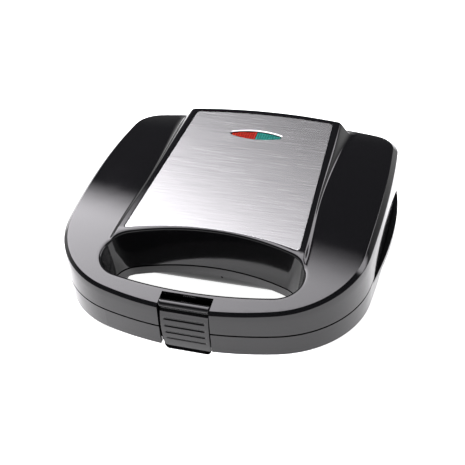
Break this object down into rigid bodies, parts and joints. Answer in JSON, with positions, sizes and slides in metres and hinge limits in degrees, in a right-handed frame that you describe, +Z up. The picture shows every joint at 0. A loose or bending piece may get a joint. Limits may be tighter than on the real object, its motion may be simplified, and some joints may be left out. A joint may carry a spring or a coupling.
{
  "type": "panini press",
  "caption": "Small two-slice panini press with a D-shaped gloss black body, loop handle, brushed steel panel and front latch.",
  "frame": {"origin": "centre of the closed press's bounding box, at the plane its feet stand on", "axes": "+Z up, +Y towards the hinge, -Y towards the handle and latch, +X to the user's right"},
  "size_m": [0.2384, 0.2392, 0.0855],
  "materials": {
    "casing_plastic": "moulded gloss black polypropylene, polished",
    "frame_plastic": "heat-resistant black plastic, fine matt texture",
    "nonstick_casting": "die-cast aluminium with a satin black non-stick coating",
    "element_steel": "drawn stainless tube, heat-tinted",
    "ceramic": "fired steatite, matt",
    "shield_steel": "aluminised sheet steel",
    "zinc_steel": "bright zinc-plated steel",
    "spring_steel": "drawn spring wire",
    "thermostat_metal": "pressed steel can with a ceramic cap",
    "fuse_sleeve": "woven glass-fibre sleeve",
    "white_nylon": "natural nylon",
    "bush_plastic": "black nylon, fine matt",
    "foot_rubber": "moulded black rubber",
    "lamp_glass": "clear glass neon lamp",
    "panel_steel": "stainless sheet brushed along X",
    "red_lens_plastic": "translucent red, prismatic back",
    "green_lens_plastic": "translucent blue-green, prismatic back"
  },
  "bodies": {
    "base": {"lower_casing": "casing_plastic", "lower_inner_frame": "frame_plastic", "lower_heating_plate": "nonstick_casting", "lower_heating_element": "element_steel", "lower_element_insulators": "ceramic", "lower_heat_shield": "shield_steel", "lower_frame_screws": "zinc_steel", "lower_plate_screws": "zinc_steel", "thermal_fuse": "fuse_sleeve", "terminal_block": "white_nylon", "cord_inlet_bush": "bush_plastic", "front_left_foot": "foot_rubber", "front_right_foot": "foot_rubber", "rear_left_foot": "foot_rubber", "rear_right_foot": "foot_rubber", "hinge_pin_left": "zinc_steel", "hinge_pin_right": "zinc_steel"},
    "lid": {"upper_casing": "casing_plastic", "upper_inner_frame": "frame_plastic", "upper_heating_plate": "nonstick_casting", "upper_heating_element": "element_steel", "upper_element_insulators": "ceramic", "upper_heat_shield": "shield_steel", "upper_frame_screws": "zinc_steel", "upper_plate_screws": "zinc_steel", "thermostat": "thermostat_metal", "lamp_holder": "white_nylon", "red_neon_lamp": "lamp_glass", "green_neon_lamp": "lamp_glass", "decor_panel": "panel_steel", "red_lens": "red_lens_plastic", "green_lens": "green_lens_plastic", "latch_pin": "zinc_steel", "latch_spring": "spring_steel"},
    "latch": {"latch_clip": "casing_plastic"}
  },
  "joints": [
    {"name": "lid_hinge", "type": "hinge", "parent": "base", "child": "lid", "pos_m": [0, 0.11364, 0.042], "axis": [-1, 0, 0], "range_deg": [0, 105]},
    {"name": "latch_hinge", "type": "hinge", "parent": "lid", "child": "latch", "pos_m": [0, -0.11085, 0.0562], "axis": [-1, 0, 0], "range_deg": [0, 18], "stiffness_Nm_per_rad": 0.08, "springref_deg": -11.46}
  ]
}
